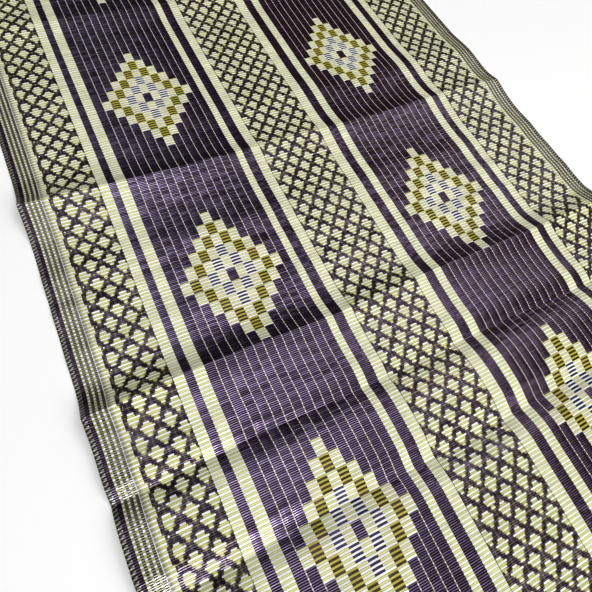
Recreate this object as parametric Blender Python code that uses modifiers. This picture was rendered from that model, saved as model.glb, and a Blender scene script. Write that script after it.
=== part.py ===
# A woven plastic floor mat, spread out on the floor with the ridges and troughs of its storage folds.
# Metres, +Z up, +X across the mat along its straws, +Y along its warp.
# The origin is on the floor under the middle of the mat.

import math
from collections import namedtuple

import bmesh
import bpy
import numpy as np

# Driving dimensions
MAT_WIDTH = 0.900
MAT_LENGTH = 1.800
MAT_THICKNESS = 0.002
MILLIMETRE = 0.001

# The selvedges stray a little from straight lines, and so do the creases
EDGE_STRAY = 0.0014
EDGE_WAVE_LENGTH = 0.66
RIGHT_EDGE_PHASE = 2.1
CREASE_STRAY = 0.0016
CREASE_WAVE_LENGTH = 0.37

# The mat is a grid of lines across it, closer together at the creases
COLUMNS_ACROSS = 18
CLOSEST_ROWS = 0.008
WIDEST_ROWS = 0.050
ROWS_AT_A_CREASE = (-1.0, -0.55, -0.25, 0.25, 0.55, 1.0)

# Where the four lifts of a crease are given, as shares of the mat's width from the left selvedge
LIFT_PLACES = (0.0, 0.37, 0.60, 0.85)

# A ridge has lifts above zero and a trough below it. Places are metres along the mat at its left and
# right selvedges, lifts are millimetres at the four places across it, and reaches are how far the
# crease runs out, in metres, towards the mat's far end and its near end. Sharp is 0 for a swell that is
# round at its top and 1 for a fold with a keen edge.
Crease = namedtuple(
    "Crease",
    "name left_y right_y lift_left lift_inner lift_outer lift_right far_reach near_reach sharp",
)
CREASES = (
    Crease("far fold", 0.535, 0.520, 5.0, 6.0, 5.0, 6.0, 0.060, 0.055, 0.5),
    Crease("right swell", 0.247, 0.247, 0.0, 1.4, 3.0, 4.5, 0.060, 0.045, 0.0),
    Crease("upper fold", 0.132, 0.155, 7.0, 8.5, 5.6, 8.5, 0.046, 0.058, 0.6),
    Crease("upper wave", 0.034, 0.034, 2.5, 3.0, 1.4, 1.6, 0.036, 0.034, 0.0),
    Crease("middle wave", -0.025, -0.025, 1.0, 1.0, 0.8, 0.6, 0.028, 0.030, 0.0),
    Crease("lower wave", -0.086, -0.086, 0.4, 0.2, 0.4, 1.6, 0.026, 0.026, 0.0),
    Crease("main fold", -0.186, -0.186, 10.0, 10.1, 7.4, 12.8, 0.040, 0.055, 0.5),
    Crease("shoulder", -0.272, -0.272, 2.0, 2.0, 0.9, 0.4, 0.040, 0.030, 0.0),
    Crease("main trough", -0.294, -0.293, -7.0, -7.4, -5.6, -6.2, 0.030, 0.030, 0.7),
    Crease("hump", -0.345, -0.345, -0.5, -0.5, 3.7, 2.0, 0.050, 0.060, 0.0),
    Crease("long swell", -0.350, -0.350, 12.0, 12.2, 9.6, 12.5, 0.200, 0.230, 0.0),
    Crease("lower trough", -0.410, -0.410, -6.5, -6.9, -3.4, -5.0, 0.038, 0.030, 0.6),
    Crease("lower fold", -0.444, -0.444, 1.5, 1.5, 4.5, 4.0, 0.030, 0.040, 0.5),
    Crease("near swell", -0.520, -0.520, 5.0, 5.5, 3.2, 4.0, 0.060, 0.090, 0.0),
    Crease("near fold", -0.720, -0.705, 6.0, 5.0, 6.0, 7.0, 0.060, 0.055, 0.5),
)

STRAW_COLOUR = (0.16, 0.13, 0.15, 1.0)
STRAW_ROUGHNESS = 0.38


def clear_scene():
    for thing in list(bpy.data.objects):
        bpy.data.objects.remove(thing, do_unlink=True)


def crease_profile(distance, crease):
    # Height of the crease as a share of its lift, at a distance along the mat from its line
    reach = np.where(distance > 0.0, crease.far_reach, crease.near_reach)
    share = np.clip(np.abs(distance) / reach, 0.0, 1.0)
    keen = (1.0 - share) ** 2
    round_topped = keen * (1.0 + 2.0 * share)
    return crease.sharp * keen + (1.0 - crease.sharp) * round_topped


def crease_line(crease, across):
    # Where the crease lies along the mat, at a share of the mat's width
    straight = crease.left_y + (crease.right_y - crease.left_y) * across
    turn = across * MAT_WIDTH / CREASE_WAVE_LENGTH + crease.left_y
    return straight + CREASE_STRAY * np.sin(2.0 * math.pi * turn)


def mat_lift(across, y):
    # Height of the mat's underside over the floor, which it never goes below
    height = np.zeros(np.broadcast(across, y).shape)
    for crease in CREASES:
        lifts = (crease.lift_left, crease.lift_inner, crease.lift_outer, crease.lift_right)
        lift = np.interp(across, LIFT_PLACES, lifts) * MILLIMETRE
        height = height + lift * crease_profile(y - crease_line(crease, across), crease)
    return np.maximum(height, 0.0)


def selvedge_places(y):
    # The mat's left and right edges at a place along it, both just inside its full width
    left_turn = 2.0 * math.pi * y / EDGE_WAVE_LENGTH
    left = -MAT_WIDTH / 2.0 + EDGE_STRAY * (1.0 + math.sin(left_turn)) / 2.0
    right = MAT_WIDTH / 2.0 - EDGE_STRAY * (1.0 + math.sin(left_turn + RIGHT_EDGE_PHASE)) / 2.0
    return left, right


def row_spacing(row, other):
    return min(abs(row[0] - other[0]), abs(row[1] - other[1]))


def grid_rows():
    # Each row is where a line across the mat meets its left and right selvedges
    half = MAT_LENGTH / 2.0
    rows = [(-half, -half), (half, half)]
    rows += [(crease.left_y, crease.right_y) for crease in CREASES if abs(crease.lift_inner) > 1.0]
    for crease in CREASES:
        for share in ROWS_AT_A_CREASE:
            run = share * (crease.far_reach if share > 0.0 else crease.near_reach)
            row = (crease.left_y + run, crease.right_y + run)
            if all(row_spacing(row, kept) > CLOSEST_ROWS for kept in rows):
                rows.append(row)
    rows.sort()
    filled = [rows[0]]
    for start, end in zip(rows, rows[1:]):
        steps = math.ceil((end[0] - start[0]) / WIDEST_ROWS)
        for step in range(1, steps + 1):
            share = step / steps
            filled.append(tuple(a + (b - a) * share for a, b in zip(start, end)))
    return filled


def make_material(name, colour, roughness):
    material = bpy.data.materials.new(name)
    material.use_nodes = True
    shader = material.node_tree.nodes["Principled BSDF"]
    shader.inputs["Base Color"].default_value = colour
    shader.inputs["Roughness"].default_value = roughness
    shader.inputs["Metallic"].default_value = 0.0
    return material


def make_mat(collection):
    # The underside is a grid laid over the creases, and the thickness is added on top of it
    rows = grid_rows()
    mesh_maker = bmesh.new()
    bmesh.ops.create_grid(mesh_maker, x_segments=COLUMNS_ACROSS, y_segments=len(rows) - 1, size=0.5)
    for corner in mesh_maker.verts:
        across = corner.co.x + 0.5
        row_left, row_right = rows[round((corner.co.y + 0.5) * (len(rows) - 1))]
        y = row_left + (row_right - row_left) * across
        left, right = selvedge_places(y)
        corner.co = (left + (right - left) * across, y, float(mat_lift(across, y)))
    mesh = bpy.data.meshes.new("mat")
    mesh_maker.to_mesh(mesh)
    mesh_maker.free()
    mesh.shade_smooth()
    mesh.materials.append(make_material("plastic straw", STRAW_COLOUR, STRAW_ROUGHNESS))
    mat = bpy.data.objects.new("mat", mesh)
    collection.objects.link(mat)
    cloth = mat.modifiers.new("thickness", "SOLIDIFY")
    cloth.thickness = MAT_THICKNESS
    cloth.offset = 1.0
    return mat


def main():
    clear_scene()
    collection = bpy.data.collections.new("woven plastic mat")
    bpy.context.scene.collection.children.link(collection)
    make_mat(collection)


main()
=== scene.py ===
import math
from collections import namedtuple

import bpy
import numpy as np
from mathutils import Matrix, Vector


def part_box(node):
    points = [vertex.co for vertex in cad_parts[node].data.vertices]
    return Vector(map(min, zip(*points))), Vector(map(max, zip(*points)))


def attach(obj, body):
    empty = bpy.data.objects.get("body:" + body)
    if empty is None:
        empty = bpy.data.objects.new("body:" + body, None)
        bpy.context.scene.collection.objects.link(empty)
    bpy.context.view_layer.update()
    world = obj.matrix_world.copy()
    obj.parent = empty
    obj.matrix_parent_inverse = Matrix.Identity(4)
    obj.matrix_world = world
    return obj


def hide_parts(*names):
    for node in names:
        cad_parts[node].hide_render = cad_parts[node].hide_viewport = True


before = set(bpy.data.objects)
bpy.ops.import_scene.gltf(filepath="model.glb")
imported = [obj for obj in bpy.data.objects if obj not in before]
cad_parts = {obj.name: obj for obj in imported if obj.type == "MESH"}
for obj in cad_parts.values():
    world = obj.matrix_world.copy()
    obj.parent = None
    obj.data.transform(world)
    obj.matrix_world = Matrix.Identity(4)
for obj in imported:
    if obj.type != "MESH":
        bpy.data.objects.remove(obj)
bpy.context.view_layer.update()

matLow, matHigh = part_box("mat")
millimetre = 0.001
print("frame loaded")

# Camera: held over the near left part of the mat, looking down along it
camera = {
    "lens": 29.98,  # millimetres, as is the width of the sensor
    "sensor": 36.0,
    "place": (-0.3585, -0.3909, 0.6218),
    "heading": 40.86,  # degrees from +Y towards +X
    "downwards": 61.55,  # degrees below the horizon
    "roll": 16.64,  # degrees, right side up
}


def linked(name, data):
    thing = bpy.data.objects.new(name, data)
    bpy.context.scene.collection.objects.link(thing)
    return thing


def makeCamera():
    data = bpy.data.cameras.new("camera")
    data.lens = camera["lens"]
    data.sensor_width = camera["sensor"]
    eye = linked("camera", data)
    turn = Matrix.Rotation(-math.radians(camera["heading"]), 4, "Z")
    tilt = Matrix.Rotation(math.radians(90 - camera["downwards"]), 4, "X")
    roll = Matrix.Rotation(math.radians(camera["roll"]), 4, "Z")
    eye.matrix_world = Matrix.Translation(camera["place"]) @ turn @ tilt @ roll
    bpy.context.scene.camera = eye


makeCamera()
print("camera placed")

# The mat's own sizes, in metres where nothing else is said
mat = {
    "length": matHigh.y - matLow.y,
    "width": matHigh.x - matLow.x,
    "thickness": 0.002,
    "wefts": 690,  # straws laid across, from the near end to the far end
    "lengths": 6,  # woven lengths, each its own mesh
    "sealedEnd": 0.003,
    "sealedLines": (0.8, 1.2),  # lines of the mesh past the last straw of each end, in straws
    "anchorWeft": 318,  # this straw lies at anchorY on the line of no drift
    "anchorY": -0.0698,
    "measuredPlaces": 3601,  # places along the mat at which the run over its folds is measured
    "edgeStray": 0.0014,
    "edgeWaveLength": 0.66,
    "rightEdgePhase": 2.1,
    "creaseStray": 0.0016,
    "creaseWaveLength": 0.37,
}

# The folds and waves: places along the mat at its left and right selvedges in metres, lifts in
# millimetres at five shares of its width, reaches towards the far and the near end in metres, and
# how keen the crease is on each side, from 0 for round to 1 for a sharp fold
crease = namedtuple(
    "crease", "name leftY rightY edge left inner outer right farReach nearReach farKeen nearKeen"
)
liftPlaces = (0.0, 0.10, 0.37, 0.60, 0.85)
creases = (
    crease("far fold", 0.535, 0.520, 5.0, 5.0, 6.0, 5.0, 6.0, 0.060, 0.055, 0.5, 0.5),
    crease("right swell", 0.235, 0.240, 0.0, 0.0, 1.4, 3.0, 5.5, 0.070, 0.078, 0.0, 0.0),
    crease("upper fold", 0.130, 0.147, 14.0, 11.5, 5.2, 4.8, 6.2, 0.066, 0.072, 0.5, 0.1),
    crease("upper lip", 0.130, 0.146, 8.0, 5.0, 2.8, 2.2, 2.5, 0.027, 0.034, 0.8, 0.6),
    crease("upper wave", 0.006, 0.030, 2.2, 2.1, 1.6, 1.4, 1.6, 0.034, 0.034, 0.0, 0.1),
    crease("middle wave", -0.041, -0.028, 1.6, 1.4, 1.0, 0.8, 0.6, 0.018, 0.034, 0.1, 0.2),
    crease("lower wave", -0.104, -0.076, 1.4, 1.1, 0.8, 0.6, 1.2, 0.020, 0.028, 0.1, 0.1),
    crease("main fold", -0.193, -0.173, 12.5, 11.5, 5.8, 5.4, 8.8, 0.046, 0.086, 0.2, 0.5),
    crease("main lip", -0.193, -0.173, 8.5, 7.5, 3.6, 3.0, 3.6, 0.028, 0.030, 0.9, 0.6),
    crease("shoulder", -0.272, -0.272, 3.0, 3.0, 1.6, 1.2, 1.2, 0.040, 0.026, 0.0, 0.0),
    crease("main trough", -0.295, -0.292, -11.5, -11.5, -6.4, -6.6, -7.6, 0.036, 0.040, 0.75, 1.0),
    crease("hump", -0.345, -0.345, -0.5, -0.5, -0.3, 2.6, 1.6, 0.050, 0.060, 0.0, 0.0),
    crease("long swell", -0.350, -0.350, 14.4, 14.4, 8.4, 8.2, 10.4, 0.200, 0.230, 0.0, 0.0),
    crease("lower trough", -0.409, -0.411, -11.5, -11.5, -7.4, -7.2, -8.4, 0.036, 0.038, 0.4, 1.0),
    crease("lower fold", -0.451, -0.451, 4.2, 4.2, 3.0, 3.4, 3.6, 0.042, 0.070, 0.3, 0.3),
    crease("near swell", -0.520, -0.520, 6.5, 6.5, 4.4, 4.0, 4.4, 0.068, 0.110, 0.0, 0.0),
    crease("near fold", -0.720, -0.705, 6.0, 6.0, 5.0, 6.0, 7.0, 0.060, 0.055, 0.5, 0.5),
)


def creaseProfile(distance, fold):
    # Height as a share of the lift, at a distance along the mat from the crease
    reach = np.where(distance > 0.0, fold.farReach, fold.nearReach)
    keenness = np.where(distance > 0.0, fold.farKeen, fold.nearKeen)
    share = np.clip(np.abs(distance) / reach, 0.0, 1.0)
    keen = (1.0 - share) ** 2
    roundTopped = keen * (1.0 + 2.0 * share)
    return keenness * keen + (1.0 - keenness) * roundTopped


def creaseLine(fold, across):
    straight = fold.leftY + (fold.rightY - fold.leftY) * across
    turn = across * mat["width"] / mat["creaseWaveLength"] + fold.leftY
    return straight + mat["creaseStray"] * np.sin(2.0 * math.pi * turn)


def matLift(across, y):
    # Height of the underside over the floor, at a share of the width and a place along the mat
    height = np.zeros(np.broadcast(across, y).shape)
    for fold in creases:
        lifts = (fold.edge, fold.left, fold.inner, fold.outer, fold.right)
        lift = np.interp(across, liftPlaces, lifts) * millimetre
        height = height + lift * creaseProfile(y - creaseLine(fold, across), fold)
    return np.maximum(height, 0.0)


def selvedgePlaces(y):
    turn = 2.0 * math.pi * y / mat["edgeWaveLength"]
    left = -mat["width"] / 2 + mat["edgeStray"] * (1.0 + np.sin(turn)) / 2
    right = mat["width"] / 2 - mat["edgeStray"] * (1.0 + np.sin(turn + mat["rightEdgePhase"])) / 2
    return left, right


# The weave across the mat, from the left selvedge, in millimetres. A rib is one float of the straws
# between two warp lines, ribCut is how much of a strip's first rib is missing, and ribDepth is how
# far the straws dip at the warp lines
strip = namedtuple("strip", "name weave width ribWidth ribCut ribDepth")
strips = (
    strip("left selvedge", "turned", 6.0, 3.0, 0.0, 0.30),
    strip("left inner edge", "edge", 5.0, 5.0, 0.0, 0.25),
    strip("left fine stripes", "leftStripes", 19.8, 3.3, 0.0, 0.22),
    strip("left lattice", "leftLattice", 81.1, 13.42, 12.55, 0.12),
    strip("lattice side", "cream", 14.0, 14.0, 0.0, 0.45),
    strip("plain stripe", "purple", 11.4, 11.4, 0.0, 0.50),
    strip("diamond side", "cream", 15.6, 15.6, 0.0, 0.45),
    strip("left diamonds", "leftDiamonds", 178.6, 178.6 / 13, 0.0, 0.55),
    strip("diamond side", "cream", 11.6, 11.6, 0.0, 0.45),
    strip("plain stripe", "purple", 15.7, 15.7, 0.0, 0.50),
    strip("lattice side", "cream", 15.4, 15.4, 0.0, 0.45),
    strip("middle lattice", "middleLattice", 115.0, 13.6, 2.7, 0.12),
    strip("lattice side", "cream", 17.9, 17.9, 0.0, 0.45),
    strip("plain stripe", "purple", 16.1, 16.1, 0.0, 0.50),
    strip("diamond side", "cream", 14.8, 14.8, 0.0, 0.45),
    strip("right diamonds", "rightDiamonds", 182.4, 182.4 / 13, 0.0, 0.80),
    strip("diamond side", "cream", 15.3, 15.3, 0.0, 0.45),
    strip("plain stripe", "purple", 14.3, 14.3, 0.0, 0.50),
    strip("lattice side", "cream", 14.9, 14.9, 0.0, 0.45),
    strip("right lattice", "rightLattice", 103.9, 14.6, 0.2, 0.12),
    strip("right fine stripes", "rightStripes", 21.7, 21.7 / 6, 0.0, 0.22),
    strip("right selvedge", "turned", 9.5, 3.2, 0.0, 0.30),
)

# The three lattices, in millimetres from the left selvedge: where a lozenge stands and how far apart
# they are, where plain cream cloth beside them ends or begins, warp lines that show dark (slits) or
# white (strays), and where the shade ends. A cut leaves the lozenges out from start to end, over
# some straws of the chart from the first one on
cut = namedtuple("cut", "start end firstStep steps")
lattices = {
    "leftLattice": {
        "centre": 51.8, "pitch": 13.42, "creamUntil": 43.4, "creamFrom": 900.0,
        "slits": (111.7,), "strays": (31.4,), "shadedUntil": 36.2,
        "cuts": (cut(41.3, 43.4, 0, 7), cut(43.4, 46.4, 0, 12), cut(107.5, 111.9, 6, 6)),
    },
    "middleLattice": {
        "centre": 392.3, "pitch": 13.6, "creamUntil": 0.0, "creamFrom": 900.0,
        "slits": (374.4, 488.0), "strays": (), "shadedUntil": 0.0,
        "cuts": (cut(374.2, 377.0, 0, 6), cut(484.5, 490.0, 0, 5)),
    },
    "rightLattice": {
        "centre": 786.8, "pitch": 14.6, "creamUntil": 0.0, "creamFrom": 862.0,
        "slits": (765.2,), "strays": (), "shadedUntil": 0.0, "cuts": (),
    },
}

# The repeats along the mat, in straws from its near end
pattern = {
    "diamondRepeat": 144,
    "diamondFirst": 314,  # the middle cell of a diamond begins here
    "cellWefts": 8,
    "lozengeRepeat": 12,
    "lozengeFirst": 322,  # the lozenge chart begins here and runs towards the near end
}

# How much of a rib the pale straws float over, straw by straw from the top of a lozenge down
lozengeChart = (0.55, 0.85, 1.26, 1.18, 0.83, 0.65, 0.36, 0.17, 0.0, 0.0, 0.0, 0.12)

# How the straws lie, in millimetres where nothing else is said
weave = {
    "ribShares": (0.0, 0.3, 0.7),
    "narrowShares": (0.0, 0.5),
    "narrowRib": 6.0,  # ribs narrower than this take the narrow shares
    "closestLines": 1.2,
    "strawShares": (0.0, 0.3, 0.7),
    "backWefts": 2,  # straws for each line across on the underside
    "strawDepth": 0.15,  # how deep the valleys between straws are
    "strawBow": 0.25,  # towards the far end at the middle of a rib
    "strawLean": 0.05,  # at random
    "lozengeRise": 0.28,
    "lozengeMargin": 1.0,  # flat beside a lattice
    "lozengeCrown": 2,  # a lozenge is highest this many straws below its top
    "edgeDrop": 0.75,  # roundness of the outer edges
    "toothDepth": 0.6,  # notches between straws along the selvedges
    "creamJag": 0.55,  # how far every other cream straw starts further along
    "waviness": 0.45,  # soft unevenness of the lying cloth
    "waveCell": 0.042,  # metres
    "flatShare": 0.35,  # how much of the noise lies flat
    "topDrop": 0.3,  # from the mat's full thickness down to the ribs
    "sealedRelief": -0.7,
    "endRelief": -1.0,
    "reliefRange": (-1.3, 0.35),
    "seed": 11,
}

# The straws don't run quite square to the selvedges: millimetres from the left selvedge, and how
# many straws' widths they have drifted towards the far end
drift = namedtuple("drift", "place straws")
drifts = (
    drift(0.0, 0.2),
    drift(119.0, 0.0),
    drift(242.0, 0.0),
    drift(366.0, -0.2),
    drift(430.0, 0.5),
    drift(498.0, 0.8),
    drift(629.0, 2.7),
    drift(740.0, 2.4),
    drift(900.0, 2.6),
)


def columnPlaces():
    # The lines along the mat: millimetres from the left selvedge, dip, bow, strip and rib number
    lines = []
    left = 0.0
    ribNumber = 0
    for number, s in enumerate(strips):
        right = left + s.width
        narrow = s.ribWidth < weave["narrowRib"]
        shares = weave["narrowShares"] if narrow else weave["ribShares"]
        dip = max(s.ribDepth, strips[number - 1].ribDepth if number else weave["edgeDrop"])
        lines.append((left, dip, 0.0, number, ribNumber))
        first = left - s.ribCut
        for rib in range(math.ceil((right - first) / s.ribWidth)):
            ribNumber += 1
            for share in shares:
                place = first + (rib + share) * s.ribWidth
                if left + weave["closestLines"] <= place <= right - weave["closestLines"]:
                    dip = s.ribDepth if share == 0.0 else 0.0
                    bow = 0.0 if narrow else 4 * share * (1 - share)
                    lines.append((place, dip, bow, number, ribNumber))
        left = right
    lines.append((left, weave["edgeDrop"], 0.0, len(strips) - 1, ribNumber))
    return [np.array(x) for x in zip(*lines)]


columnPlace, columnDip, columnBow, columnStrip, columnRib = columnPlaces()
totalMillimetres = columnPlace[-1]
stripStarts = [columnPlace[columnStrip == n][0] for n in range(len(strips))]


def rowPlaces():
    # The lines across the mat, as counts of straws from the near end, with the sealed ends outside
    inner, outer = mat["sealedLines"]
    last = mat["wefts"]
    wefts = [n + share for n in range(last) for share in weave["strawShares"]]
    return np.array([-outer, -inner] + wefts + [last, last + inner, last + outer])


rowWeft = rowPlaces()
sealedRows = (rowWeft < 0) | (rowWeft > mat["wefts"])


def spreadRows(across):
    # Places along the mat that keep the straws evenly spaced over the folds
    half = mat["length"] / 2
    fine = np.linspace(-half, half, mat["measuredPlaces"])
    height = matLift(across[None, :], fine[:, None])
    steps = np.hypot(np.diff(fine)[:, None], np.diff(height, axis=0))
    run = np.vstack([np.zeros(len(across)), np.cumsum(steps, axis=0)])
    places = np.empty((len(rowWeft), len(across)))
    counts = (rowWeft[0], 0.0, mat["anchorWeft"], mat["wefts"], rowWeft[-1])
    pitch = mat["length"] / mat["wefts"]
    strayed = np.interp(columnPlace, [d.place for d in drifts], [d.straws for d in drifts]) * pitch
    for column in range(len(across)):
        end = run[-1, column]
        anchor = np.interp(mat["anchorY"] + strayed[column], fine, run[:, column])
        runs = (0.0, mat["sealedEnd"], anchor, end - mat["sealedEnd"], end)
        places[:, column] = np.interp(np.interp(rowWeft, counts, runs), run[:, column], fine)
    return places


def softNoise(x, y, cell, seed):
    # Smooth random values from 0 to 1 on a grid of cells about the middle of the mat
    cells = 128
    grid = np.random.default_rng(seed).random((cells, cells))
    column, row = x / cell + cells / 2, y / cell + cells / 2
    left, low = np.floor(column).astype(int), np.floor(row).astype(int)
    over, up = column - left, row - low
    over, up = over * over * (3 - 2 * over), up * up * (3 - 2 * up)
    lower = grid[low, left] * (1 - over) + grid[low, left + 1] * over
    upper = grid[low + 1, left] * (1 - over) + grid[low + 1, left + 1] * over
    return lower * (1 - up) + upper * up


def lozengeRise(place, weft):
    # Soft domes over the lozenges, where the straws float furthest
    rise = np.zeros(np.broadcast(place, weft).shape)
    for s, left in zip(strips, stripStarts):
        if s.weave in lattices:
            lattice = lattices[s.weave]
            first, last = left + weave["lozengeMargin"], left + s.width - weave["lozengeMargin"]
            inside = (place > first) & (place < last)
            across = np.cos(math.pi * (place - lattice["centre"]) / lattice["pitch"])
            fromCrown = weft - pattern["lozengeFirst"] + weave["lozengeCrown"]
            along = np.cos(2 * math.pi * fromCrown / pattern["lozengeRepeat"])
            rise = rise + inside * (0.5 + 0.5 * across * along)
    return rise * weave["lozengeRise"]


def wovenSurface():
    # The underside's height and the top's points, for every line across and along
    across = columnPlace / totalMillimetres
    y = spreadRows(across)
    bow = columnBow[None, :] * weave["strawBow"] * millimetre
    y = y + np.where(sealedRows[:, None], 0.0, bow)
    y = np.clip(y, -mat["length"] / 2, mat["length"] / 2)
    left, right = selvedgePlaces(y)
    x = left + (right - left) * across[None, :]

    valley = np.isclose(rowWeft % 1.0, 0.0)
    edge = np.zeros(len(columnPlace))
    edge[0], edge[-1] = 1.0, -1.0
    x = x + edge[None, :] * valley[:, None] * weave["toothDepth"] * millimetre

    starts = [
        strips[n].weave == "cream" and strips[n - 1].weave != "cream" and place in stripStarts
        for n, place in zip(columnStrip, columnPlace)
    ]
    oddStraw = np.where(np.floor(rowWeft) % 2 == 1, 0.5, -0.5) * ~valley
    x = x + np.array(starts)[None, :] * oddStraw[:, None] * weave["creamJag"] * millimetre

    under = matLift(across[None, :], y)
    wave = softNoise(x, y, weave["waveCell"], weave["seed"])
    raised = np.clip(wave - weave["flatShare"], 0.0, 1.0) / (1.0 - weave["flatShare"])
    under = under + weave["waviness"] * millimetre * raised

    random = np.random.default_rng(weave["seed"] + 1)
    spare = len(mat["sealedLines"])
    leanStraws = mat["wefts"] + 2 * spare
    lean = random.normal(0.0, weave["strawLean"], (leanStraws, columnRib[-1] + 1))
    straw = np.clip(np.floor(rowWeft + spare).astype(int), 0, leanStraws - 1)
    side = np.where(valley, 0.0, np.where(rowWeft % 1.0 < 0.5, -1.0, 1.0))
    relief = -columnDip[None, :] - valley[:, None] * weave["strawDepth"]
    relief = relief + lean[straw][:, columnRib] * side[:, None]
    relief = relief + lozengeRise(columnPlace[None, :], rowWeft[:, None])
    relief = np.where(sealedRows[:, None], weave["sealedRelief"], relief)
    relief[0], relief[-1] = weave["endRelief"], weave["endRelief"]
    relief = np.clip(relief, *weave["reliefRange"])
    top = under + mat["thickness"] + (relief - weave["topDrop"]) * millimetre
    return np.stack([x, y, top], axis=2), under


topPoints, underHeight = wovenSurface()
print("woven surface laid out:", topPoints.shape[0], "lines across,", topPoints.shape[1], "along")

# Straw colours, as the plastic's own, except olive, which is painted shade along the sides of yellow
# straws
straws = {
    "white": (0.88, 0.89, 0.87, 1.0),
    "yellow": (0.68, 0.73, 0.25, 1.0),
    "warmYellow": (0.74, 0.71, 0.27, 1.0),
    # olive: painted shade for the sides of yellow straws
    "olive": (0.42, 0.40, 0.10, 1.0),
    "tuckedYellow": (0.46, 0.41, 0.04, 1.0),
    "shadedOlive": (0.26, 0.27, 0.09, 1.0),
    "shadedWhite": (0.52, 0.52, 0.54, 1.0),
    "shadedYellow": (0.66, 0.69, 0.30, 1.0),
    "latticeYellow": (0.50, 0.54, 0.10, 1.0),
    "netOlive": (0.26, 0.25, 0.045, 1.0),
    "netGrey": (0.075, 0.060, 0.080, 1.0),
    "stripeWhite": (0.78, 0.78, 0.78, 1.0),
    "stripeYellow": (0.38, 0.40, 0.09, 1.0),
    "stripeGrey": (0.060, 0.055, 0.085, 1.0),
    "stripeOlive": (0.095, 0.090, 0.018, 1.0),
    "selvedgeLight": (0.34, 0.33, 0.36, 1.0),
    "selvedgeOlive": (0.15, 0.16, 0.01, 1.0),
    "selvedgeDark": (0.014, 0.010, 0.012, 1.0),
    "purple": (0.016, 0.005, 0.015, 1.0),
    "plum": (0.030, 0.011, 0.019, 1.0),
    "navy": (0.014, 0.016, 0.070, 1.0),
    "brown": (0.022, 0.012, 0.006, 1.0),
    "mustard": (0.49, 0.455, 0.060, 1.0),
    "slit": (0.03, 0.025, 0.03, 1.0),
    "melted": (0.40, 0.37, 0.33, 1.0),
}
# The tint of the highlights on a cloth
glints = {
    "lavender": (0.81, 0.66, 0.99, 1.0),
    "clear": (1.0, 1.0, 1.0, 1.0),
}
# Painted shade: what a straw's colour is multiplied by in the gap beside it, to darken it as if
# shaded
gapShadeTints = {
    "pale": (0.72, 0.71, 0.58, 1.0),
    "dark": (0.30, 0.30, 0.30, 1.0),
    "mixed": (0.45, 0.42, 0.35, 1.0),
}
paleGloss = 0.35  # how glossy pale straws look beside dark ones

# The form and the skin of one straw, in millimetres and shares. Here and below, four values in a row
# are a range: the input from and until, and what it gives at each
strawForm = {
    "roundness": 0.12,  # from its back down to its edges
    "flatness": 4.0,  # higher is flatter on top
    "lean": 0.30,  # at random from float to float
    "lineDepth": 0.02,  # fine lines drawn along it
    "lineStretch": (0.10, 7.0),  # how fast a texture changes along the straw and across straws
    "noisePlace": (3.0, 7.0),  # where in the noise each straw finds its own chance
    "streakStretch": (0.05, 4.0),
    "patchStretch": (0.018, 0.05),
    # gap: over these shares the colour is darkened with painted shade
    "gap": (0.76, 1.0, 0.0, 1.0),
    "crown": (0.05, 0.62, 1.0, 0.0),
    "uneven": 0.12,  # how much lighter or darker one straw is than the next
    "streakShade": (0.25, 0.75, -0.10, 0.10),
    "patchShade": (0.3, 0.7, -0.05, 0.05),
    "streakRoughness": (0.2, 0.8, 0.24, 0.33),
    "patchRoughness": (0.3, 0.7, -0.03, 0.05),
    "shine": (0.0, 1.0, 0.03, 1.6),
    "ior": 1.65,
}


def feed(socket, given):
    if isinstance(given, bpy.types.NodeSocket):
        socket.id_data.links.new(given, socket)
    else:
        socket.default_value = given


def feedAll(sockets, given):
    for label, value in given.items():
        feed(sockets[label], value)


def newNode(kind, *given):
    # A node in the tree that the given sockets are in
    tree = next(s.id_data for s in given if isinstance(s, bpy.types.NodeSocket))
    return tree.nodes.new(kind)


def maths(operation, *given, clamp=False):
    node = newNode("ShaderNodeMath", *given)
    node.operation = operation
    node.use_clamp = clamp
    for socket, value in zip(node.inputs, given):
        feed(socket, value)
    return node.outputs[0]


def times(first, second):
    return maths("MULTIPLY", first, second)


def plus(first, second):
    return maths("ADD", first, second)


def minus(first, second, clamp=False):
    return maths("SUBTRACT", first, second, clamp=clamp)


def modulo(first, second):
    return maths("FLOORED_MODULO", first, second)


def larger(first, second):
    return maths("MAXIMUM", first, second)


def isOver(first, second):
    return maths("GREATER_THAN", first, second)


def isUnder(first, second):
    return maths("LESS_THAN", first, second)


def isNear(value, place, reach):
    return maths("COMPARE", value, place, reach)


def blend(factor, first, second, kind="MIX"):
    node = newNode("ShaderNodeMix", factor, first, second)
    node.data_type = "RGBA"
    node.blend_type = kind
    for number, value in ((0, factor), (6, first), (7, second)):
        feed(node.inputs[number], value)
    return node.outputs[2]


def vectorOf(x, y, z=0.0):
    node = newNode("ShaderNodeCombineXYZ", x, y, z)
    for socket, value in zip(node.inputs, (x, y, z)):
        feed(socket, value)
    return node.outputs[0]


def whiteNoise(vector):
    node = newNode("ShaderNodeTexWhiteNoise", vector)
    node.noise_dimensions = "3D"
    feed(node.inputs["Vector"], vector)
    return node.outputs["Value"]


def softTexture(across, weft, stretch, detail=3.0):
    # Noise that changes faster one way than the other
    place = vectorOf(times(across, stretch[0]), times(weft, stretch[1]))
    node = newNode("ShaderNodeTexNoise", place)
    node.noise_dimensions = "2D"
    feedAll(node.inputs, {"Vector": place, "Scale": 1.0, "Detail": detail})
    return node.outputs[0]


def mapped(value, fromLow, fromHigh, toLow, toHigh, smooth=False):
    node = newNode("ShaderNodeMapRange", value)
    node.interpolation_type = "SMOOTHSTEP" if smooth else "LINEAR"
    for socket, given in zip(node.inputs, (value, fromLow, fromHigh, toLow, toHigh)):
        feed(socket, given)
    return node.outputs[0]


def distanceFrom(value, place):
    return maths("ABSOLUTE", minus(value, place))


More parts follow.
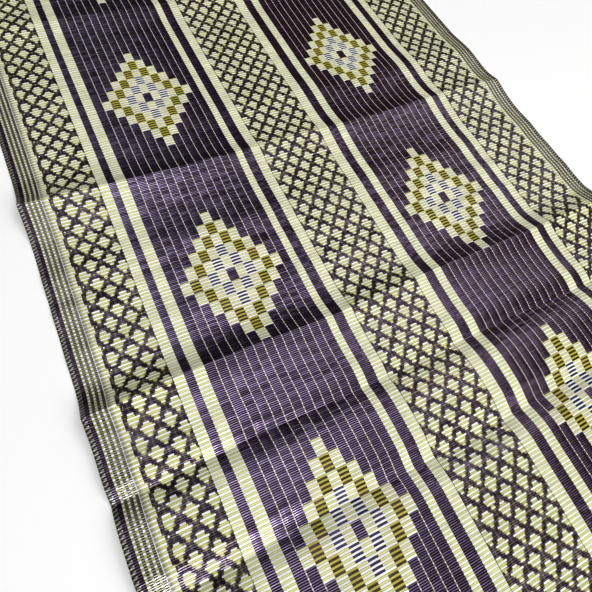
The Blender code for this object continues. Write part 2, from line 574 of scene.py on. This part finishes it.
def newGroup(name, inputs, outputs):
    # Colour and the tint of the painted gap shade are colours, and the rest are numbers
    group = bpy.data.node_groups.new(name, "ShaderNodeTree")
    for side, labels in (("INPUT", inputs), ("OUTPUT", outputs)):
        for label in labels.split():
            kind = "NodeSocketColor" if label in ("colour", "gapTint") else "NodeSocketFloat"
            group.interface.new_socket(name=label, in_out=side, socket_type=kind)
    start = group.nodes.new("NodeGroupInput")
    end = group.nodes.new("NodeGroupOutput")
    return group, start.outputs, end.inputs


def placed(tree, group, lay=(), **given):
    # Inputs that aren't given come from the straw lay where it has them
    node = tree.nodes.new("ShaderNodeGroup")
    node.node_tree = group
    labels = node.inputs.keys()
    shared = {s.name: s for s in lay if s.name in labels and s.name not in given}
    feedAll(node.inputs, {**shared, **given})
    return node.outputs


def makeStrawLay():
    # Where a point is in the weave: across in millimetres, along in straws
    group, given, result = newGroup(
        "straw lay",
        "ribStart ribWidth",
        "across weft row odd overStraw rib overRib strawChance floatChance",
    )
    uv = group.nodes.new("ShaderNodeUVMap")
    uv.uv_map = "weave"
    parts = group.nodes.new("ShaderNodeSeparateXYZ")
    feed(parts.inputs[0], uv.outputs[0])
    across, weft = parts.outputs[0], parts.outputs[1]
    row = maths("FLOOR", weft)
    ribs = maths("DIVIDE", minus(across, given["ribStart"]), given["ribWidth"])
    rib = maths("FLOOR", ribs)
    strawPlace = vectorOf(row, *strawForm["noisePlace"])
    floatPlace = vectorOf(row, rib, given["ribStart"])
    feedAll(result, {
        "across": across, "weft": weft, "row": row, "rib": rib,
        "odd": modulo(row, 2.0),
        "overStraw": maths("FRACT", weft),
        "overRib": maths("FRACT", ribs),
        "strawChance": whiteNoise(strawPlace),
        "floatChance": whiteNoise(floatPlace),
    })
    return group


def makeStrawBody():
    # The round back of a straw in millimetres, the gap beside it, masked for the painted shade
    # there, and the fine lines drawn along it
    group, given, result = newGroup(
        "straw body",
        "across weft overStraw floatChance",
        "height gap crown",
    )
    fromMiddle = minus(given["overStraw"], 0.5)
    side = times(maths("ABSOLUTE", fromMiddle), 2.0)
    back = times(maths("POWER", side, strawForm["flatness"]), strawForm["roundness"])
    lines = softTexture(given["across"], given["weft"], strawForm["lineStretch"], detail=2.0)
    lines = times(lines, strawForm["lineDepth"])
    tilt = times(minus(given["floatChance"], 0.5), strawForm["lean"])
    height = minus(times(tilt, fromMiddle), back)
    feedAll(result, {
        "height": plus(height, lines),
        # The gap mask, which places the painted shade beside the straw
        "gap": mapped(side, *strawForm["gap"], smooth=True),
        "crown": mapped(side, *strawForm["crown"], smooth=True),
    })
    return group


def makeStrawSkin():
    # Tone differences from straw to straw, drawn streaks, slow fading, painted shade darkening the
    # gaps between straws and rubbed backs
    group, given, result = newGroup(
        "straw skin",
        "colour across weft strawChance floatChance gap crown gapTint glimmer",
        "colour roughness shine",
    )
    streaks = softTexture(given["across"], given["weft"], strawForm["streakStretch"])
    patches = softTexture(given["across"], given["weft"], strawForm["patchStretch"])
    chance = plus(given["strawChance"], given["floatChance"])
    shade = plus(times(minus(chance, 1.0), strawForm["uneven"]), 1.0)
    shade = plus(shade, mapped(streaks, *strawForm["streakShade"]))
    shade = plus(shade, mapped(patches, *strawForm["patchShade"]))
    lit = group.nodes.new("ShaderNodeVectorMath")
    lit.operation = "SCALE"
    feed(lit.inputs[0], given["colour"])
    feed(lit.inputs["Scale"], shade)
    # Painted shade: the colour is darkened in the gap beside each straw
    shown = blend(given["gap"], lit.outputs[0], given["gapTint"], "MULTIPLY")
    rough = mapped(streaks, *strawForm["streakRoughness"])
    rough = plus(rough, mapped(patches, *strawForm["patchRoughness"]))
    glimmer = times(minus(given["floatChance"], 0.5), given["glimmer"])
    glimmer = maths("MULTIPLY_ADD", glimmer, 2.0, 1.0)
    shine = times(mapped(given["crown"], *strawForm["shine"]), glimmer)
    feedAll(result, {"colour": shown, "roughness": rough, "shine": shine})
    return group


# Diamonds: rings of cells are counted from the middle cell, and ties are the warp lines that show
# pale on the ground between the diamonds
diamondForm = {
    "blueRing": 2.0,
    "goldRing": 4.0,
    "lastRing": 5.5,
    "ringReach": 0.4,  # either side of a ring's number
    "tieReach": 0.62,  # millimetres to each side of a rib line
    "tieRibs": 6.2,  # no ties further out than this many ribs
    "oddTie": 0.35,  # how much of a tie is lost on every other straw
    "goldSide": 0.43,  # mustard also at the edges of the brown straws, as a share of a straw
}


def makeDiamondSteps():
    # Stepped rings of cells about the middle cell of each diamond
    group, given, result = newGroup(
        "diamond steps",
        "across row centre ribWidth",
        "cream blue gold tie",
    )
    ribs = minus(given["across"], given["centre"])
    ribs = plus(maths("DIVIDE", ribs, given["ribWidth"]), 0.5)
    sideways = maths("ABSOLUTE", maths("FLOOR", ribs))
    half = pattern["diamondRepeat"] / 2
    straw = modulo(minus(given["row"], pattern["diamondFirst"] - half), 2 * half)
    straw = minus(straw, half)
    cell = maths("FLOOR", maths("DIVIDE", straw, pattern["cellWefts"]))
    ring = plus(sideways, maths("ABSOLUTE", cell))
    cream = times(isUnder(ring, diamondForm["lastRing"]), modulo(ring, 2.0))
    fromLine = distanceFrom(maths("FRACT", ribs), 0.5)
    fromLine = times(minus(0.5, fromLine), given["ribWidth"])
    onGround = isOver(ring, diamondForm["lastRing"])
    tie = times(isUnder(fromLine, diamondForm["tieReach"]), onGround)
    tie = times(tie, isUnder(distanceFrom(ribs, 0.5), diamondForm["tieRibs"]))
    blue = isNear(ring, diamondForm["blueRing"], diamondForm["ringReach"])
    gold = isNear(ring, diamondForm["goldRing"], diamondForm["ringReach"])
    feedAll(result, {"cream": cream, "blue": blue, "gold": gold, "tie": tie})
    return group


# Lattices: the ends of the pale floats, in shares of a rib and straws, and how their colours mix
latticeForm = {
    "floatEnd": (-0.012, 0.012, 0.0, 1.0),
    "ragged": (0.0, 1.0, -0.02, 0.10),  # how far a float strays past the chart, at random
    "oddRagged": 0.10,  # yellow floats end sooner by this
    "shortest": 0.02,  # shorter floats than this in the chart don't stray
    "tuckedMiddle": 6.0,  # the straws of the chart that show tucked tips
    "tuckedReach": 2.1,
    "tucked": (0.02, 0.20, 1.0, 0.0),
    "fringe": (-0.26, -0.02, 0.0, 1.0),
    "fringeChance": (0.0, 1.0, 0.2, 1.0),
    "yellowMiddle": (0.30, 0.44, 0.55, 0.0),
    "shadeFades": (-2.5, 1.5),  # millimetres before and past the end of the shade
    "slitReach": 0.35,  # millimetres
    "strayReach": 0.3,  # millimetres
}


def makeLozenges():
    # Two sets of lozenges, a rib and half a repeat apart, from the chart
    group, given, result = newGroup(
        "lattice lozenges",
        "across row centre pitch stray",
        "pale tucked fringe step",
    )
    ribs = minus(given["across"], given["centre"])
    fromFirst = maths("PINGPONG", maths("DIVIDE", ribs, given["pitch"]), 1.0)
    fromSecond = minus(1.0, fromFirst)
    repeat = pattern["lozengeRepeat"]
    pale, tucked, nearest = 0.0, 0.0, -1.0
    for distance, later in ((fromFirst, 0), (fromSecond, repeat // 2)):
        step = modulo(minus(pattern["lozengeFirst"] + later, given["row"]), repeat)
        if later == 0:
            feed(result["step"], step)
        chart = group.nodes.new("ShaderNodeValToRGB")
        chart.color_ramp.interpolation = "CONSTANT"
        stops = chart.color_ramp.elements
        for place, reach in enumerate(lozengeChart):
            stop = stops[place] if place < 2 else stops.new(place / repeat)
            stop.position = place / repeat
            stop.color = (reach / 2, reach / 2, reach / 2, 1.0)
        feed(chart.inputs[0], maths("DIVIDE", plus(step, 0.5), repeat))
        stray = times(given["stray"], isOver(chart.outputs[0], latticeForm["shortest"]))
        within = minus(plus(chart.outputs[0], stray), distance)
        lozenge = mapped(within, *latticeForm["floatEnd"])
        tuckedRow = isNear(step, latticeForm["tuckedMiddle"], latticeForm["tuckedReach"])
        tip = times(mapped(within, *latticeForm["tucked"]), tuckedRow)
        tucked = larger(tucked, times(lozenge, tip))
        pale = larger(pale, lozenge)
        nearest = larger(nearest, within)
    fringe = mapped(nearest, *latticeForm["fringe"])
    feedAll(result, {"pale": pale, "tucked": tucked, "fringe": fringe})
    return group


strawLay = makeStrawLay()
strawBody = makeStrawBody()
strawSkin = makeStrawSkin()
diamondSteps = makeDiamondSteps()
lozenges = makeLozenges()
print("shared node groups made")

# Pale and dark straws, by shares of a straw from its middle and by millimetres across the mat
strawMix = {
    # A painted highlight down the middle of each yellow straw
    "paintedHighlightMiddle": (0.0, 0.14, 0.45, 0.0),
    # Painted shade along the sides of each yellow straw
    "paintedShadeSides": (0.26, 0.38, 0.0, 1.0),
    "yellowReach": 0.44,
    "plumAcross": (260.0, 480.0, 0.0, 1.0),
    "navyShare": 0.12,
    "darkGlossAcross": (220.0, 360.0, 1.17, 0.8),
}


def paleStraws(lay):
    # White and yellow straws in turn; each yellow straw has a painted highlight of white down its
    # middle and painted shade of olive along its sides
    yellow = blend(lay["floatChance"], straws["yellow"], straws["warmYellow"])
    side = distanceFrom(lay["overStraw"], 0.5)
    # Painted highlight: the middle of a yellow straw is blended towards white
    yellow = blend(mapped(side, *strawMix["paintedHighlightMiddle"]), yellow, straws["white"])
    # Painted shade: the sides of a yellow straw are blended towards olive
    yellow = blend(mapped(side, *strawMix["paintedShadeSides"]), yellow, straws["olive"])
    onYellow = isUnder(side, strawMix["yellowReach"])
    return blend(times(lay["odd"], onYellow), straws["white"], yellow)


def darkStraws(lay):
    # Purple straws, which are redder and less glossy over the right part of the mat
    plumShare = mapped(lay["across"], *strawMix["plumAcross"])
    dark = blend(plumShare, straws["purple"], straws["plum"])
    navyShare = times(lay["floatChance"], strawMix["navyShare"])
    return blend(navyShare, dark, straws["navy"])


def darkGloss(lay):
    return mapped(lay["across"], *strawMix["darkGlossAcross"])


# Each weave gives the colour of the straw on top, and how glossy it is
def creamWeave(tree, lay, s, left):
    return paleStraws(lay), paleGloss


def purpleWeave(tree, lay, s, left):
    return darkStraws(lay), darkGloss(lay)


def diamondWeave(tree, lay, s, left):
    centre = left + s.width / 2
    steps = placed(tree, diamondSteps, lay, centre=centre, ribWidth=s.ribWidth)
    pale = paleStraws(lay)
    paleOrTie = larger(steps["cream"], steps["tie"])
    lostTie = times(times(steps["tie"], lay["odd"]), diamondForm["oddTie"])
    paleOrTie = minus(paleOrTie, lostTie, clamp=True)
    base = blend(paleOrTie, darkStraws(lay), pale)
    base = blend(steps["blue"], base, blend(lay["odd"], straws["white"], straws["navy"]))
    goldSide = isOver(distanceFrom(lay["overStraw"], 0.5), diamondForm["goldSide"])
    gold = blend(larger(lay["odd"], goldSide), straws["brown"], straws["mustard"])
    base = blend(steps["gold"], base, gold)
    plain = plus(paleOrTie, plus(steps["blue"], steps["gold"]))
    gloss = mapped(plain, 0.0, 1.0, 1.0, paleGloss)
    return base, times(gloss, darkGloss(lay))


def latticeWeave(tree, lay, s, left):
    lattice = lattices[s.weave]
    across = lay["across"]
    stray = mapped(lay["floatChance"], *latticeForm["ragged"])
    stray = minus(stray, times(lay["odd"], latticeForm["oddRagged"]))
    found = placed(tree, lozenges, lay, centre=lattice["centre"], pitch=lattice["pitch"],
                   stray=stray)
    pale = found["pale"]
    pale = larger(pale, isUnder(across, lattice["creamUntil"]))
    pale = larger(pale, isOver(across, lattice["creamFrom"]))
    for c in lattice["cuts"]:
        inside = isNear(across, (c.start + c.end) / 2, (c.end - c.start) / 2)
        step = modulo(minus(found["step"], c.firstStep), pattern["lozengeRepeat"])
        inside = times(inside, isUnder(step, c.steps - 0.5))
        pale = minus(pale, inside, clamp=True)

    side = distanceFrom(lay["overStraw"], 0.5)
    yellowPart = times(lay["odd"], mapped(side, *latticeForm["yellowMiddle"]))
    floats = blend(yellowPart, paleStraws(lay), straws["latticeYellow"])
    tucked = times(found["tucked"], isOver(across, lattice["creamUntil"]))
    tips = blend(lay["odd"], straws["shadedYellow"], straws["tuckedYellow"])
    floats = blend(tucked, floats, tips)
    shade = blend(lay["odd"], straws["shadedWhite"], straws["shadedOlive"])
    fadeStart, fadeEnd = (lattice["shadedUntil"] + reach for reach in latticeForm["shadeFades"])
    floats = blend(mapped(across, fadeStart, fadeEnd, 1.0, 0.0), floats, shade)

    fringe = blend(lay["odd"], straws["netGrey"], straws["netOlive"])
    fringeShare = mapped(lay["floatChance"], *latticeForm["fringeChance"])
    fringeShare = times(found["fringe"], fringeShare)
    net = blend(fringeShare, darkStraws(lay), fringe)
    base = blend(pale, net, floats)
    for place in lattice["slits"]:
        slit = isNear(across, place, latticeForm["slitReach"])
        base = blend(slit, base, straws["slit"])
    for place in lattice["strays"]:
        strayLine = isNear(across, place, latticeForm["strayReach"])
        base = blend(strayLine, base, straws["white"])
    return base, mapped(pale, 0.0, 1.0, 1.0, paleGloss)


stripeForm = {
    "darkFirst": {"leftStripes": 0.0, "rightStripes": 1.0},
    "edge": (0.38, 0.48, 0.0, 1.0),  # by shares of a rib from its middle
    "purpleChance": (0.55, 0.75, 0.0, 0.8),
}


def stripesWeave(tree, lay, s, left):
    # Narrow stripes in which either the pale straw or the purple one is up
    dark = modulo(plus(lay["rib"], stripeForm["darkFirst"][s.weave]), 2.0)
    side = distanceFrom(lay["overRib"], 0.5)
    dark = larger(dark, mapped(side, *stripeForm["edge"]))
    mixed = blend(lay["odd"], straws["stripeGrey"], straws["stripeOlive"])
    purpleShare = mapped(lay["floatChance"], *stripeForm["purpleChance"])
    mixed = blend(purpleShare, mixed, straws["purple"])
    dashes = blend(lay["odd"], straws["stripeWhite"], straws["stripeYellow"])
    return blend(dark, dashes, mixed), mapped(dark, 0.0, 1.0, paleGloss, 1.0)


# The selvedges: a light and an olive dash for every two straws, with places as shares of that repeat
selvedgeForm = {
    "slant": 0.16,  # straws for each millimetre across
    "oliveMiddle": 0.42,
    "oliveReach": (0.10, 0.15, 1.0, 0.0),
    "lightMiddle": 0.68,
    "lightReach": (0.10, 0.14, 1.0, 0.0),
    "lightChance": (0.0, 1.0, 0.75, 1.0),
    "lightGloss": (0.0, 1.0, 0.3, 1.7),
    "oliveGloss": 0.4,
}


def turnedWeave(tree, lay, s, left):
    # The selvedge, where each straw turns back: short olive and light dashes on dark
    form = selvedgeForm
    slanted = minus(lay["weft"], times(lay["across"], form["slant"]))
    dash = maths("FRACT", times(slanted, 0.5))
    olive = mapped(distanceFrom(dash, form["oliveMiddle"]), *form["oliveReach"])
    light = mapped(distanceFrom(dash, form["lightMiddle"]), *form["lightReach"])
    light = times(light, mapped(lay["strawChance"], *form["lightChance"]))
    base = blend(olive, straws["selvedgeDark"], straws["selvedgeOlive"])
    gloss = mapped(light, *form["lightGloss"])
    gloss = plus(gloss, times(olive, form["oliveGloss"]))
    return blend(light, base, straws["selvedgeLight"]), gloss


sealedForm = {"stretch": (0.3, 1.0), "ribWidth": 14.0, "gloss": 0.5}


def sealedWeave(tree, lay, s, left):
    # Straws melted together along the cut ends
    melt = softTexture(lay["across"], lay["weft"], sealedForm["stretch"])
    return blend(melt, straws["purple"], straws["melted"]), sealedForm["gloss"]


# One material for each weave: the function that colours it, the tint of its painted shade in the
# gaps, the tint of its highlights, how much it shines and how much that differs from float to float
cloth = namedtuple("cloth", "name weaveOf gap glint shine glimmer")
clothKinds = {
    "turned": cloth("turned selvedge", turnedWeave, "dark", "clear", 2.2, 0.4),
    "edge": cloth("inner edge", purpleWeave, "dark", "lavender", 0.7, 0.4),
    "purple": cloth("purple straws", purpleWeave, "dark", "lavender", 1.9, 0.4),
    "cream": cloth("cream straws", creamWeave, "pale", "clear", 1.4, 0.4),
    "leftStripes": cloth("left fine stripes", stripesWeave, "mixed", "clear", 1.6, 0.4),
    "rightStripes": cloth("right fine stripes", stripesWeave, "mixed", "clear", 1.6, 0.4),
    "leftLattice": cloth("left lattice", latticeWeave, "mixed", "lavender", 0.8, 0.6),
    "middleLattice": cloth("middle lattice", latticeWeave, "mixed", "lavender", 1.1, 0.6),
    "rightLattice": cloth("right lattice", latticeWeave, "mixed", "lavender", 1.1, 0.6),
    "leftDiamonds": cloth("left diamonds", diamondWeave, "mixed", "lavender", 1.8, 0.4),
    "rightDiamonds": cloth("right diamonds", diamondWeave, "mixed", "lavender", 1.8, 0.4),
    "sealed": cloth("sealed end", sealedWeave, "mixed", "clear", 1.0, 0.4),
}


def newMaterial(name):
    material = bpy.data.materials.new(name)
    material.use_nodes = True
    return material, material.node_tree, material.node_tree.nodes["Principled BSDF"]


def makeCloth(s, left):
    kind = clothKinds[s.weave]
    material, tree, shader = newMaterial(kind.name)
    lay = placed(tree, strawLay, ribStart=left - s.ribCut, ribWidth=s.ribWidth)
    body = placed(tree, strawBody, lay)
    colourOnTop, glossOnTop = kind.weaveOf(tree, lay, s, left)
    skin = placed(tree, strawSkin, lay, colour=colourOnTop, gap=body["gap"], crown=body["crown"],
                  gapTint=gapShadeTints[kind.gap], glimmer=kind.glimmer)
    bump = tree.nodes.new("ShaderNodeBump")
    feedAll(bump.inputs, {
        "Strength": 1.0, "Distance": millimetre, "Height": body["height"],
    })
    gloss = times(times(skin["shine"], glossOnTop), kind.shine)
    feedAll(shader.inputs, {
        "Base Color": skin["colour"],
        "Roughness": skin["roughness"],
        "IOR": strawForm["ior"],
        "Specular IOR Level": gloss,
        "Specular Tint": glints[kind.glint],
        "Normal": bump.outputs[0],
    })
    return material


def makeCloths():
    made = {}
    sealed = strip("sealed ends", "sealed", totalMillimetres, sealedForm["ribWidth"], 0.0, 0.0)
    for s, left in zip((*strips, sealed), (*stripStarts, 0.0)):
        if s.weave not in made:
            made[s.weave] = makeCloth(s, left)
    return made


cloths = makeCloths()
clothOrder = list(cloths)
# What shows on the underside of a weave, where it isn't the same weave
backs = {"cream": "purple", "purple": "cream", "leftDiamonds": "cream", "rightDiamonds": "cream"}
print("cloth materials made")

# Where each side of a length lies on its bake map: low and high places, and a strip for each rim
bakePlaces = {
    "across": (0.02, 0.98),
    "top": (0.16, 0.99),
    "back": (0.01, 0.13),
    "leftRim": (0.004, 0.012),
    "rightRim": (0.988, 0.996),
    "nearRim": (0.135, 0.140),
    "farRim": (0.146, 0.151),
}


def spreadOver(places, shares):
    return places[0] + (places[1] - places[0]) * shares


def gridOf(acrossPlaces, alongPlaces):
    return np.stack(np.meshgrid(acrossPlaces, alongPlaces), axis=2)


def quadFaces(numbers, upwards):
    corners = [numbers[:-1, :-1], numbers[:-1, 1:], numbers[1:, 1:], numbers[1:, :-1]]
    if not upwards:
        corners = corners[::-1]
    return np.stack(corners, axis=2).reshape(-1, 4)


def rimFaces(fine, coarse, places, outwards):
    # One face for each step of the coarse edge, with all the points of the fine edge above it
    faces = []
    for k in range(len(coarse) - 1):
        edge = list(fine[places[k]:places[k + 1] + 1])
        if outwards:
            faces.append([coarse[k], coarse[k + 1]] + edge[::-1])
        else:
            faces.append([coarse[k + 1], coarse[k]] + edge)
    return faces


def rimBakes(side, faces, fine, coarse, places, fineRun):
    low, high = bakePlaces[side]
    found = {corner: (run, high) for corner, run in zip(fine, fineRun)}
    found.update({corner: (fineRun[place], low) for corner, place in zip(coarse, places)})
    flat = np.array([found[corner] for corner in np.concatenate(faces)])
    return flat[:, ::-1] if side in ("leftRim", "rightRim") else flat


def clothSlots(columns, under):
    slots = []
    for owner in columnStrip[columns]:
        weaveName = strips[owner].weave
        slots.append(clothOrder.index(backs.get(weaveName, weaveName) if under else weaveName))
    return np.array(slots)


def newMesh(name, points, loops, counts, slots, smoothFaces, maps):
    mesh = bpy.data.meshes.new(name)
    mesh.vertices.add(len(points))
    mesh.vertices.foreach_set("co", points.astype(np.float32).ravel())
    mesh.loops.add(len(loops))
    mesh.loops.foreach_set("vertex_index", loops.astype(np.int32))
    mesh.polygons.add(len(counts))
    starts = np.concatenate([[0], np.cumsum(counts)[:-1]])
    mesh.polygons.foreach_set("loop_start", starts.astype(np.int32))
    mesh.polygons.foreach_set("material_index", slots.astype(np.int32))
    mesh.polygons.foreach_set("use_smooth", np.arange(len(counts)) < smoothFaces)
    for label, values in maps.items():
        layer = mesh.uv_layers.new(name=label)
        layer.data.foreach_set("uv", values.astype(np.float32).ravel())
    for key in clothOrder:
        mesh.materials.append(cloths[key])
    mesh.update(calc_edges=True)
    mesh.validate()
    return mesh


def makeLength(name, firstRow, lastRow):
    # A closed mesh of the rows from firstRow to lastRow: fine on top, coarse underneath
    rows = np.arange(firstRow, lastRow + 1)
    columns = np.arange(len(columnPlace))
    rowStep = weave["backWefts"] * len(weave["strawShares"])
    coarseRows = np.unique(np.append(np.arange(0, len(rows), rowStep), len(rows) - 1))
    isRibLine = (columnBow == 0.0) & (columnDip > 0.0)
    coarseColumns = np.unique(np.append(np.flatnonzero(isRibLine), (0, len(columns) - 1)))
    top = topPoints[rows]
    under = top[coarseRows][:, coarseColumns].copy()
    under[:, :, 2] = underHeight[rows][coarseRows][:, coarseColumns]
    points = np.concatenate([top.reshape(-1, 3), under.reshape(-1, 3)])
    topNumbers = np.arange(top.shape[0] * top.shape[1]).reshape(top.shape[:2])
    underNumbers = np.arange(under.shape[0] * under.shape[1]).reshape(under.shape[:2])
    underNumbers += topNumbers.size

    wefts = rowWeft[rows]
    weavePlace = np.empty((len(points), 2))
    weavePlace[topNumbers] = gridOf(columnPlace, wefts)
    weavePlace[underNumbers] = gridOf(columnPlace[coarseColumns], wefts[coarseRows])
    alongShare = (wefts - wefts[0]) / (wefts[-1] - wefts[0])
    flatX = spreadOver(bakePlaces["across"], columnPlace / totalMillimetres)
    topY = spreadOver(bakePlaces["top"], alongShare)
    backY = spreadOver(bakePlaces["back"], alongShare)
    bakeFlat = np.empty((len(points), 2))
    bakeFlat[topNumbers] = gridOf(flatX, topY)
    bakeFlat[underNumbers] = gridOf(flatX[coarseColumns], backY[coarseRows])

    topQuads, underQuads = quadFaces(topNumbers, True), quadFaces(underNumbers, False)
    sealedSlot = clothOrder.index("sealed")
    sealed = sealedRows[rows]
    topSlots = np.tile(clothSlots(columns[:-1], False), (len(rows) - 1, 1))
    topSlots[sealed[:-1] | sealed[1:]] = sealedSlot
    underSlots = np.tile(clothSlots(coarseColumns[:-1], True), (len(coarseRows) - 1, 1))

    loops = [topQuads.ravel(), underQuads.ravel()]
    counts = [np.full(len(topQuads), 4), np.full(len(underQuads), 4)]
    slots = [topSlots.ravel(), underSlots.ravel()]
    bakes = [bakeFlat[topQuads.ravel()], bakeFlat[underQuads.ravel()]]
    sides = (
        ("leftRim", topNumbers[:, 0], underNumbers[:, 0], coarseRows, False, topY),
        ("rightRim", topNumbers[:, -1], underNumbers[:, -1], coarseRows, True, topY),
        ("nearRim", topNumbers[0], underNumbers[0], coarseColumns, True, flatX),
        ("farRim", topNumbers[-1], underNumbers[-1], coarseColumns, False, flatX),
    )
    sealedRims = {"nearRim": firstRow == 0, "farRim": lastRow == len(rowWeft) - 1}
    for side, fine, coarse, places, outwards, fineRun in sides:
        faces = rimFaces(fine, coarse, places, outwards)
        loops.append(np.concatenate(faces))
        counts.append(np.array([len(face) for face in faces]))
        rimSlot = sealedSlot if sealedRims.get(side) else clothOrder.index("turned")
        slots.append(np.full(len(faces), rimSlot))
        bakes.append(rimBakes(side, faces, fine, coarse, places, fineRun))

    loops, counts, slots, bakes = (np.concatenate(x) for x in (loops, counts, slots, bakes))
    maps = {"weave": weavePlace[loops], "OFBake": bakes}
    mesh = newMesh(name, points, loops, counts, slots, len(topQuads) + len(underQuads), maps)
    length = linked(name, mesh)
    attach(length, "root")
    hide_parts("mat")
    return length


def makeMat():
    # The lengths share the lines at which they meet
    strawsEach = mat["wefts"] // mat["lengths"]
    lines = np.arange(mat["lengths"] + 1) * strawsEach * len(weave["strawShares"])
    lines += len(mat["sealedLines"])
    lines[0], lines[-1] = 0, len(rowWeft) - 1
    for number in range(mat["lengths"]):
        length = makeLength(f"wovenLength{number + 1}", lines[number], lines[number + 1])
        triangles = sum(len(face.vertices) - 2 for face in length.data.polygons)
        print(length.name, "made,", triangles, "triangles")


makeMat()

# Floor and studio light. A softbox stands at a place in metres, is so wide and so long, and points
# at the mat
softbox = namedtuple("softbox", "name place wide long power colour")
studio = {
    "floorSize": 6.0,
    "floorDrop": 0.0002,
    "floorColour": (0.992, 0.995, 0.995, 1.0),
    "floorRoughness": 0.9,
    "skyColour": (0.86, 0.90, 1.0, 1.0),
    "skyStrength": 0.04,
    "gamma": 0.8,
    "aim": (0.0, -0.05, 0.0),
    "softboxes": (
        softbox("top light", (0.5, 0.1, 4.0), 3.4, 4.4, 58.0, (0.985, 0.973, 0.967)),
        softbox("upper right light", (2.8, 0.9, 4.0), 1.2, 2.8, 13.0, (0.99, 0.970, 0.955)),
        softbox("side light", (-0.6, 0.7, 4.0), 1.8, 3.4, 29.0, (0.96, 0.965, 0.985)),
        softbox("far light", (-0.7, 4.0, 4.2), 3.6, 2.6, 17.0, (0.96, 0.965, 0.985)),
        softbox("right light", (4.7, 1.8, 4.0), 2.6, 5.0, 34.0, (1.0, 0.970, 0.935)),
        softbox("near light", (1.0, -3.3, 4.0), 5.2, 2.4, 35.0, (0.985, 0.973, 0.967)),
        softbox("key light", (-1.0, -6.6, 4.3), 3.0, 3.0, 312.0, (1.0, 0.985, 0.975)),
        softbox("near right light", (4.2, -6.8, 4.3), 6.0, 3.0, 190.0, (1.0, 0.985, 0.975)),
    ),
}


def makeFloor():
    half = studio["floorSize"] / 2
    corners = [(-half, -half, 0), (half, -half, 0), (half, half, 0), (-half, half, 0)]
    mesh = bpy.data.meshes.new("floor")
    mesh.from_pydata(corners, [], [(0, 1, 2, 3)])
    floor = linked("floor", mesh)
    floor.location.z = -studio["floorDrop"]
    material, tree, shader = newMaterial("floor")
    feedAll(shader.inputs, {
        "Base Color": studio["floorColour"],
        "Roughness": studio["floorRoughness"],
        "Specular IOR Level": 0.0,
    })
    mesh.materials.append(material)


def makeLights():
    world = bpy.data.worlds.new("studio")
    world.use_nodes = True
    sky = world.node_tree.nodes["Background"]
    sky.inputs["Color"].default_value = studio["skyColour"]
    sky.inputs["Strength"].default_value = studio["skyStrength"]
    bpy.context.scene.world = world
    for box in studio["softboxes"]:
        data = bpy.data.lights.new(box.name, "AREA")
        data.shape = "RECTANGLE"
        data.size = box.wide
        data.size_y = box.long
        data.energy = box.power
        data.color = box.colour
        lamp = linked(box.name, data)
        aim = Vector(studio["aim"]) - Vector(box.place)
        turn = aim.to_track_quat("-Z", "Y").to_matrix().to_4x4()
        lamp.matrix_world = Matrix.Translation(box.place) @ turn


makeFloor()
makeLights()
bpy.context.scene.view_settings.view_transform = "Standard"
bpy.context.scene.view_settings.gamma = studio["gamma"]
print("studio made")
